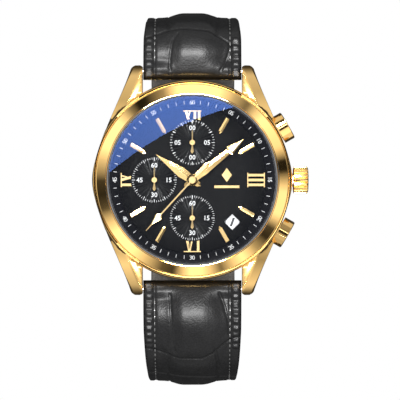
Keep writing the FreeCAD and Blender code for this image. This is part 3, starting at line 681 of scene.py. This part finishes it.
def roofed(outline, z, edge, ridge, angle=0.0, centre=(0.0, 0.0)):
    """Solid from (half width, distance) pairs: flat below, two facets above that meet in a ridge."""
    turn = math.radians(angle)

    def place(x, d, height):
        return at(centre[0] + x * math.cos(turn) + d * math.sin(turn),
                  centre[1] - x * math.sin(turn) + d * math.cos(turn), height)
    verts = []
    for half, d in outline:
        half = max(half, 0.012)
        spine = z + edge + (ridge - edge) * min(1.0, half / 0.3)
        verts += [place(-half, d, z), place(half, d, z), place(half, d, z + edge), place(0, d, spine),
                  place(-half, d, z + edge)]
    faces = loft_faces(len(outline), 5)
    faces[-1] = faces[-1][::-1]
    return closed_mesh("facets", verts, faces, 4.0)


cut_gold = gold_plate("diamond_cut_gold", 0.12, (1.0, 0.70, 0.30, 1.0))
satin_gold = gold_plate("satin_applied_gold", 0.28, (1.0, 0.72, 0.34, 1.0))
baton_r0, baton_r1 = 10.7, 14.2
baton = [(0.012, baton_r0), (0.375, baton_r0 + 0.5), (0.375, baton_r1 - 0.08), (0.30, baton_r1)]
batons = [roofed(baton, dial_top, 0.24, 0.35, 30 * hour) for hour in (1, 2, 4, 5, 7, 8, 10, 11)]
shown("baton_set", joined("baton_set", batons, cut_gold), None, "case", "gold_hands", ["hour_batons"])
dressed("hour_numerals", satin_gold)
dressed("applied_mark", satin_gold)

# ---- Hands --------------------------------------------------------------------------------------
# Stamped brass, faceted along the middle and gold plated, pressed on their tubes and arbors. The
# minute hand's point and the centre seconds' kite carry cream luminous paint.


def hub(x, y, z, outer, top, bore=0.0):
    """Round boss with a softened edge and a dimple or a pipe in its middle."""
    line = [(bore, z), (outer, z), (outer, top - 0.05), (outer - 0.05, top), (bore + 0.06, top),
            (bore + 0.03, top - 0.06), (bore, top - 0.06)]
    return spun_mesh("hub", line, 72, x, y)


def hand_piece(node, blade, boss, material):
    """Show a hand made of a faceted blade and its boss in place of its CAD node."""
    mesh = joined(node + "_cut", [blade, boss], material)
    shown(node + "_cut", mesh, None, body_of(node), "gold_hands", [node])


hour_z, minute_z, seconds_z, counter_z = 7.25, 7.7, 8.15, 7.15
hour_angle, minute_angle, seconds_angle = 305.0, 51.8, 222.4
hour_line = [(0.012, -2.1), (0.5, -1.6), (0.75, 0), (1.05, 2.6), (0.55, 5.7), (0.012, 8.9)]
hand_piece("hour_hand", roofed(hour_line, hour_z, 0.06, 0.26, hour_angle),
           hub(0, 0, hour_z, 1.15, hour_z + 0.31, 0.82), cut_gold)
minute_line = [(0.012, -2.1), (0.4, -1.6), (0.6, 0), (0.85, 3.0), (0.5, 9.2), (0.95, 9.5), (0.012, 13.1)]
hand_piece("minute_hand", roofed(minute_line, minute_z, 0.06, 0.24, minute_angle),
           hub(0, 0, minute_z, 0.95, minute_z + 0.30, 0.47), cut_gold)
seconds_line = [(0.012, -4.9), (0.45, -4.0), (0.16, -1.0), (0.14, 9.3), (0.7, 9.9), (0.1, 11.9),
                (0.05, 13.7)]
hand_piece("chrono_seconds_hand", roofed(seconds_line, seconds_z, 0.06, 0.2, seconds_angle),
           hub(0, 0, seconds_z, 0.72, seconds_z + 0.35, 0.17), satin_gold)
counter_line = [(0.03, -2.2), (0.32, -1.8), (0.1, -0.6), (0.1, 1.9), (0.012, 2.7)]
for where, (x, y) in counters.items():
    hand_piece("counter_hand_" + where, roofed(counter_line, counter_z, 0.06, 0.18, 0.0, (x, y)),
               hub(x, y, counter_z, 0.55, counter_z + 0.27, 0.17), satin_gold)

lume = enamel("cream_luminous_paint", (0.80, 0.76, 0.58, 1), 0.6)
minute_lume = [(0.55, 9.75), (0.02, 12.3)]
shown("minute_lume", roofed(minute_lume, minute_z + 0.16, 0.07, 0.12, minute_angle), lume,
      "minute_hand", "cream_lume", ["minute_hand_lume"])
seconds_lume = [(0.1, 9.65), (0.5, 10.0), (0.06, 11.5)]
shown("seconds_lume", roofed(seconds_lume, seconds_z + 0.14, 0.07, 0.11, seconds_angle), lume,
      "chrono_seconds", "cream_lume", ["chrono_seconds_lume"])

# ---- Date ---------------------------------------------------------------------------------------
# A white printed disc turns below a bevelled window. Its figures read from the hand axis outwards.
disc_white = enamel("date_disc_white", (0.55, 0.55, 0.54, 1), 0.5)
ink = enamel("date_ink", (0.015, 0.015, 0.015, 1), 0.5)
dressed("date_disc", disc_white)
window_r, window_bearing, figure_lean = 11.62, 136.4, 20.0
disc_face = 6.055
figures = []
for day in range(31):
    turned = 360.0 * day / 31
    figures.append(lettering(str(day + 1), 1.6, (0, 0), (window_r, window_bearing + turned),
                             figure_lean + turned, disc_face, 0.0, 0.008, 0.09))
shown("date_figures", joined("date_figures", figures, ink), None, "date_disc", "black_dial")

# ---- Strap --------------------------------------------------------------------------------------
# Two padded halves of calf leather, embossed with large scales and finished glossy. Each is folded
# round its spring bar, filled with felt between the stitch rows, and lined with smooth grey leather.
bar_y, bar_z = 21.9, 2.2
wrap_r, tail_r = 52.0, 48.7


def round_middle(degrees, r):
    """Place (y, z) on a circle about the wrap's middle, at an angle from straight below."""
    turn = math.radians(degrees)
    return r * math.sin(turn), bar_z - r * math.cos(turn)


# centre lines as (y, z, thickness)
upper_line = [(bar_y, bar_z, 3.5), (26.0, 1.2, 4.3), (30.1, -2.8, 4.2), (32.2, -9.5, 3.9),
              (32.8, -17.5, 3.6), (32.5, -25.5, 3.2), (30.6, -33.4, 2.8), (26.3, -40.4, 2.5)]
upper_line += [round_middle(a, wrap_r) + (2.4,) for a in (22.5, 16, 9.5, 3, -2.6)]
lower_line = [(-bar_y, bar_z, 3.5), (-26.4, 1.4, 4.3), (-32.2, -2.4, 4.3), (-37.4, -9.0, 4.0),
              (-40.4, -17.5, 3.7), (-40.4, -26.2, 3.3), (-37.3, -33.4, 2.9), (-31.2, -38.4, 2.6),
              (-23.2, -42.0, 2.3)]
lower_line += [round_middle(a, tail_r) + (2.2,) for a in (-17, -10, -3, 4, 11.5, 19)]


def smooth(value, low, high):
    """Rise from 0 at low to 1 at high, level at both."""
    t = np.clip((value - low) / (high - low), 0, 1)
    return t * t * (3 - 2 * t)


class StrapRun:
    """Stations along a strap's centre line: place, direction, thickness, half width, length so far."""

    def __init__(self, line, step):
        points = np.array(line)
        chord = np.concatenate([[0], np.cumsum(np.hypot(*np.diff(points[:, :2], axis=0).T))])
        fine = np.linspace(0, chord[-1], 1200)
        y, z, thick = (self.spline(chord, points[:, k], fine) for k in range(3))
        length = np.concatenate([[0], np.cumsum(np.hypot(np.diff(y), np.diff(z)))])
        self.s = np.linspace(0, length[-1], int(length[-1] / step) + 1)
        self.y, self.z, self.t = (np.interp(self.s, length, q) for q in (y, z, thick))
        dy, dz = np.gradient(self.y, self.s), np.gradient(self.z, self.s)
        size = np.hypot(dy, dz)
        self.dy, self.dz = dy / size, dz / size
        self.half = np.interp(self.z, [-46, -18, -1, 8], [9.0, 9.25, 9.9, 9.9])
        # how far the edges drop below the padded middle
        self.drop = 0.95 * smooth(self.s, 0.0, 2.2) * (1 - smooth(self.s, 24, 60) * 0.75)
        # +1 where the outside of the wrap is to the left of the direction of travel, else -1
        self.side = 1.0 if self.y[0] > 0 else -1.0

    def place(self, i, x, height, offset=0.0):
        """Point across a station, above its centre line, and further along by an offset."""
        return at(x, self.y[i] + self.dy[i] * offset - self.side * self.dz[i] * height,
                  self.z[i] + self.dz[i] * offset + self.side * self.dy[i] * height)

    @staticmethod
    def spline(x, values, at_x):
        """Natural cubic spline through the given values."""
        n = len(x)
        h = np.diff(x)
        system, right = np.eye(n), np.zeros(n)
        for i in range(1, n - 1):
            system[i, i - 1], system[i, i], system[i, i + 1] = h[i - 1], 2 * (h[i - 1] + h[i]), h[i]
            right[i] = 6 * ((values[i + 1] - values[i]) / h[i] - (values[i] - values[i - 1]) / h[i - 1])
        bend = np.linalg.solve(system, right)
        k = np.clip(np.searchsorted(x, at_x) - 1, 0, n - 2)
        a, b = (x[k + 1] - at_x) / h[k], (at_x - x[k]) / h[k]
        return (a * values[k] + b * values[k + 1]
                + ((a ** 3 - a) * bend[k] + (b ** 3 - b) * bend[k + 1]) * h[k] ** 2 / 6)


def away_from(x, y, path):
    """Distance from points (x, y) to a line through (x, y) pairs."""
    best = np.full(x.shape, 99.0)
    for (x0, y0), (x1, y1) in zip(path, path[1:]):
        dx, dy = x1 - x0, y1 - y0
        t = np.clip(((x - x0) * dx + (y - y0) * dy) / (dx * dx + dy * dy), 0, 1)
        best = np.minimum(best, np.hypot(x - x0 - t * dx, y - y0 - t * dy))
    return best


stitch_x = 7.6


def embossing(x, along, creases, cross_start):
    """Height of the embossed scales, in millimetres, from the creases and the distance along."""
    near = np.full(x.shape, 99.0)
    for path in creases:
        near = np.minimum(near, away_from(x, along, path))
    height = -0.26 * np.exp(-(near / 0.20) ** 2) + 0.20 * smooth(near, 0.1, 2.6)
    bead = (np.cos(2 * math.pi * along / 1.55) * 0.5 + 0.5) * smooth(np.abs(x), 7.9, 8.3)
    height += 0.26 * bead * (along < cross_start) * smooth(9.6 - np.abs(x), 0.0, 0.5)
    groove = np.exp(-((np.abs(x) - stitch_x) / 0.28) ** 2)
    return height - 0.22 * groove


def strap_mesh(name, run, creases, cross_start, eye_r, blunt):
    """Closed padded band: rounded end at the spring bar, embossed outside, flat lining inside."""
    tip_r, across_count = 1.1, 97
    stations = [(-eye_r * math.cos(k * math.pi / 16), 0) for k in range(8)]
    stations += [(0.0, i) for i in range(len(run.s))]
    if not blunt:
        stations += [(tip_r * math.sin(k * math.pi / 12), len(run.s) - 1) for k in range(1, 7)]
    verts = []
    for offset, i in stations:
        half, thick = run.half[i], run.t[i]
        if offset < 0:
            thick = 2 * math.sqrt(max(eye_r ** 2 - offset ** 2, 1e-4))
        elif offset > 0:
            thick = math.sqrt(max(tip_r ** 2 - offset ** 2, 1e-4)) * thick / tip_r
            half = half * (0.86 + 0.14 * math.sqrt(max(1 - (offset / (tip_r + 0.02)) ** 2, 0)))
        x = np.linspace(-half, half, across_count)
        fold = 0.55 * min(1.0, thick / 1.6)
        corner = np.clip((np.abs(x) - (half - fold)) / fold, 0, 1)
        round_off = np.sqrt(np.maximum(1 - corner ** 2, 0))
        margin = thick / 2 - run.drop[i] * smooth(np.abs(x), 1.6, 7.6)
        middle = (margin - thick / 2) / 2
        along = np.full(x.shape, run.s[i] + offset)
        detail = embossing(x, along, creases, cross_start) * smooth(thick, 1.0, 2.2)
        top = middle + (margin - middle) * round_off + detail * smooth(round_off, 0.3, 0.9) - 0.1
        low = middle - (middle + thick / 2) * round_off
        # the blunt end is pared thin and narrow for the buckle
        pared = smooth(run.s[i], run.s[-1] - 12, run.s[-1] - 5) if blunt else 0.0
        x, low = x * (1 - 0.035 * pared), low + 0.25 * pared
        top = np.maximum(top - 0.5 * pared, low + 0.01)
        verts += [run.place(i, px, h, offset) for px, h in zip(x, top)]
        verts += [run.place(i, px, h, offset) for px, h in zip(x[-2:0:-1], low[-2:0:-1])]
    around = 2 * across_count - 2
    mesh = bpy.data.meshes.new(name)
    mesh.from_pydata(verts, [], loft_faces(len(stations), around))
    mesh.materials.append(scale_leather)
    mesh.materials.append(lining_leather)
    lined = [0] * (across_count - 1) + [1] * (around - across_count + 1)
    mesh.polygons.foreach_set("material_index", lined * (len(stations) - 1) + [0, 0])
    shape = bmesh.new()
    shape.from_mesh(mesh)
    bmesh.ops.recalc_face_normals(shape, faces=shape.faces)
    shape.to_mesh(mesh)
    shape.free()
    mesh.shade_smooth()
    return mesh


def leather(name, colour, roughness, coat, cell):
    """Pigmented leather: fine grain with pores, small wrinkles, and gloss that varies over it."""
    material, shader, wire = new_material(name, {
        "Coat Weight": coat, "Coat Roughness": 0.22, "IOR": 1.5, "Specular IOR Level": 0.13})
    place = wire.node("TexCoord", output=3)
    grain = wire.node("TexVoronoi", {"Vector": place, "Scale": cell})
    wrinkle = wire.node("TexNoise", {"Vector": place, "Scale": cell * 0.35, "Detail": 6.0, "Roughness": 0.6})
    blotch = wire.node("TexNoise", {"Vector": place, "Scale": 160.0, "Detail": 3.0})
    lighter = tuple(c * 2.0 for c in colour[:3]) + (1,)
    (grain * 0.5 + wrinkle * 0.5).step(0.2, 0.8).mix(colour, lighter).into(shader, "Base Color")
    (roughness + blotch.step(0.35, 0.7) * 0.14).into(shader, "Roughness")
    relief = wire.node("Bump", {"Strength": 0.5, "Distance": 0.00008, "Height": grain * 0.6 + wrinkle})
    relief.into(shader, "Normal")
    return material


scale_leather = leather("black_scale_leather", (0.003, 0.003, 0.0031, 1), 0.33, 0.06, 2600.0)
lining_leather = leather("grey_lining_leather", (0.06, 0.055, 0.05, 1), 0.55, 0.0, 3400.0)


def run_creases(run, cross, left, right, beyond, spacing):
    """Creases in (x, distance along) from the front ones in (x, y), with scales repeated after them."""
    front = np.argmax(run.y * run.side)

    def along(y):
        return float(np.interp(abs(y), run.y[:front] * run.side, run.s[:front]))
    first, left, right = ([(x, along(y)) for x, y in path] for path in (cross, left, right))
    centre = float(np.mean([s for x, s in first[1:-1]]))
    total = run.s[-1]
    rows = [first]
    while centre + len(rows) * spacing < total - 2:
        row = len(rows)
        middle, bend, sway = centre + row * spacing, math.cos(row * 2.4) * 0.8, 0.1 * math.sin(2.1 * row)
        rows.append([(x, middle + (s - centre) * bend + sway * x) for x, s in first])
    paths = [first, left, right] + rows[1:]
    for k, (a, b) in enumerate(zip(rows, rows[1:] + [[(x, total + 3) for x, s in first]])):
        for x in beyond:
            lean = 0.35 * math.sin(3.0 * k + x)
            s0, s1 = (float(np.interp(x, *zip(*row))) for row in (a, b))
            paths.append([(x + lean, s0), (x - lean, (s0 + s1) / 2), (x + lean * 0.4, s1)])
    return paths, centre


upper_run, lower_run = StrapRun(upper_line, 0.22), StrapRun(lower_line, 0.22)
upper_creases, upper_cross = run_creases(
    upper_run, [(-9.5, 28.1), (-5.3, 29.2), (-0.5, 29.1), (3.7, 28.8), (7.3, 27.1), (9.4, 26.6)],
    [(-4.4, 21.9), (-4.6, 22.5), (-4.4, 25.1), (-3.9, 27.2), (-2.9, 28.3)],
    [(5.7, 21.9), (6.6, 23.2), (7.2, 25.1), (7.5, 26.6)], (-5.1, 5.2), 9.0)
lower_creases, lower_cross = run_creases(
    lower_run, [(-9.2, -33.4), (-5.9, -34.1), (-3.1, -34.8), (2.0, -34.8), (4.2, -34.0), (7.0, -31.9),
                (9.1, -31.0)],
    [(-4.5, -22.8), (-4.3, -26.4), (-4.0, -30.1), (-3.6, -33.6)],
    [(5.4, -22.5), (6.5, -25.3), (7.2, -27.8), (7.3, -30.3)], (-4.8, 5.0), 9.5)

eye_r = 1.74
for half, run, creases, cross, blunt in (("strap_upper", upper_run, upper_creases, upper_cross, True),
                                         ("strap_lower", lower_run, lower_creases, lower_cross, False)):
    mesh = strap_mesh(half + "_leather", run, creases, cross - 1.0, eye_r, blunt)
    band = shown(half + "_leather", mesh, None, half, "black_leather", [half])


def stitch_row_tree():
    """Short rounded stitches along a line."""
    kit = NodeTree("stitch_row", {"Pitch": "Float", "Length": "Float", "Radius": "Float",
                                  "Finish": "Material"})
    curve = kit.node("GeometryNodeMeshToCurve", {"Mesh": kit.input("Geometry")})
    evened = kit.node("GeometryNodeResampleCurve", {"Curve": curve, "Length": kit.input("Pitch")},
                     mode="LENGTH")
    way = kit.node("GeometryNodeInputTangent")
    turned = kit.node("FunctionNodeAlignRotationToVector", {"Vector": way}, axis="Z")
    bead = kit.node("GeometryNodeMeshUVSphere", {"Segments": 10, "Rings": 7, "Radius": kit.input("Radius")})
    stretch = kit.node("ShaderNodeMath", {0: kit.input("Length"), 1: kit.input("Radius")},
                       operation="DIVIDE")
    size = kit.node("ShaderNodeCombineXYZ", {0: 1.0, 1: 1.0, 2: stretch})
    placed = kit.node("GeometryNodeInstanceOnPoints", {"Points": evened, "Instance": bead,
                                                       "Rotation": turned, "Scale": size})
    return kit.close(placed, kit.input("Finish"))


def thread_material():
    """Waxed black thread, spiral-laid, with a little shine."""
    material, shader, wire = new_material("waxed_black_thread", {"Coat Weight": 0.5, "Coat Roughness": 0.2})
    place = wire.node("TexCoord", output=3)
    lay = wire.node("TexNoise", {"Vector": place, "Scale": 5200.0, "Detail": 2.0})
    lay.mix((0.02, 0.02, 0.02, 1), (0.06, 0.06, 0.058, 1)).into(shader, "Base Color")
    (0.35 + lay * 0.2).into(shader, "Roughness")
    wire.node("Bump", {"Strength": 0.4, "Distance": 0.00003, "Height": lay}).into(shader, "Normal")
    return material


thread = thread_material()
stitch_row = stitch_row_tree()


def stitches(half, run, start, stop):
    """Both stitch rows of a half, in the grooves beside its padding."""
    made = []
    for x in (-stitch_x, stitch_x):
        verts = [run.place(i, x, run.t[i] / 2 - run.drop[i] - 0.20)
                 for i in range(len(run.s)) if start <= run.s[i] <= stop]
        line = bpy.data.meshes.new("row")
        line.from_pydata(verts, [(k, k + 1) for k in range(len(verts) - 1)], [])
        made.append(grown(stitch_row, {"Pitch": 0.0015, "Length": 0.00048, "Radius": 0.00017,
                                       "Finish": thread}, line))
    shown(half + "_stitches", joined(half + "_stitches", made, thread), None, half, "black_leather")


stitches("strap_upper", upper_run, 2.6, upper_run.s[-1] - 4)
stitches("strap_lower", lower_run, 2.6, lower_run.s[-1] - 3)

# ---- Keepers, buckle and bars -------------------------------------------------------------------
# Two leather loops hold the tail. The buckle is a bent and polished steel frame, gold plated, with
# its tongue on the same bar as the short half of the strap.
for node in ("fixed_keeper", "free_keeper"):
    dressed(node, scale_leather)
for node in ("buckle_frame", "buckle_tongue", "buckle_bar"):
    dressed(node, polished_gold)

# ---- Lug ridges ---------------------------------------------------------------------------------
# Each lug's ridge between its satin and its polished facet carries a fine row of knurled points.
ridge_ys = np.linspace(13.6, 22.0, 40)
ridge_zs = StrapRun.spline(np.array([9.0, 12.8, 16.5, 20.0, 22.2, 23.75]),
                           np.array([8.2, 8.2, 7.55, 5.85, 3.95, 2.0]), ridge_ys)
ridge_rows = []
for side in (-1, 1):
    for end in (-1, 1):
        line = bpy.data.meshes.new("ridge")
        line.from_pydata([at(side * (10.6 + (20.75 - y) * 0.425), end * y, z + 0.01)
                          for y, z in zip(ridge_ys, ridge_zs)], [], [(k, k + 1) for k in range(39)])
        ridge_rows.append(grown(stitch_row, {"Pitch": 0.00036, "Length": 0.00007, "Radius": 0.00007,
                                             "Finish": polished_gold}, line))
shown("lug_knurling", joined("lug_knurling", ridge_rows, polished_gold), None, "case", "gold_case")

# ---- Case back and movement ---------------------------------------------------------------------
# Pieces that the case hides or half hides: a brushed steel back, seals, springs and the quartz movement.


def solid_surface(name, constants, dark, light, scale, stretch=(1, 1, 1), bump=0.1, kind="TexNoise",
                  rough=(0.3, 0.45)):
    """Material whose colour, roughness and relief follow one pattern."""
    material, shader, wire = new_material(name, constants)
    place = wire.node("Mapping", {"Vector": wire.node("TexCoord", output=3), "Scale": stretch})
    pattern = wire.node(kind, {"Vector": place, "Scale": scale})
    fine = wire.node("TexNoise", {"Vector": place, "Scale": scale * 3.1, "Detail": 4.0})
    mask = (pattern * 0.6 + fine * 0.4).step(0.25, 0.75)
    mask.mix(dark + (1,), light + (1,)).into(shader, "Base Color")
    (rough[0] + mask * (rough[1] - rough[0])).into(shader, "Roughness")
    wire.node("Bump", {"Strength": bump, "Distance": 0.00003, "Height": mask}).into(shader, "Normal")
    return material


metal = {"Metallic": 1.0}
steel = solid_surface("brushed_steel", metal, (0.55, 0.55, 0.54), (0.68, 0.68, 0.67), 900.0,
                      (1, 1, 0.05), 0.12)
rubber = solid_surface("black_nitrile", {}, (0.012, 0.012, 0.012), (0.025, 0.025, 0.026), 1400.0,
                       bump=0.25, rough=(0.55, 0.75))
brass = solid_surface("movement_brass", metal, (0.72, 0.52, 0.25), (0.82, 0.63, 0.34), 700.0,
                      (0.05, 1, 1), 0.1)
winding = solid_surface("copper_winding", metal, (0.42, 0.15, 0.07), (0.75, 0.34, 0.18), 900.0,
                        bump=0.5, kind="TexWave")
board = solid_surface("board_resist", {"Coat Weight": 0.4}, (0.01, 0.10, 0.04), (0.03, 0.20, 0.08), 500.0,
                      bump=0.2, kind="TexVoronoi")
plastic = solid_surface("holder_plastic", {}, (0.55, 0.55, 0.53), (0.66, 0.66, 0.64), 1200.0,
                        bump=0.15, rough=(0.45, 0.6))
by_slot = {"steel": steel, "seal_rubber": rubber, "movement_brass": brass, "motor_copper": winding,
           "board_green": board, "holder_plastic": plastic, "gold_case": polished_gold,
           "gold_hands": satin_gold, "cream_lume": lume, "white_date": disc_white,
           "black_leather": scale_leather, "black_dial": ink}
for node in sorted(set(nodes) - covered):
    nodes[node].data.materials.clear()
    nodes[node].data.materials.append(by_slot[slot_of(node)])
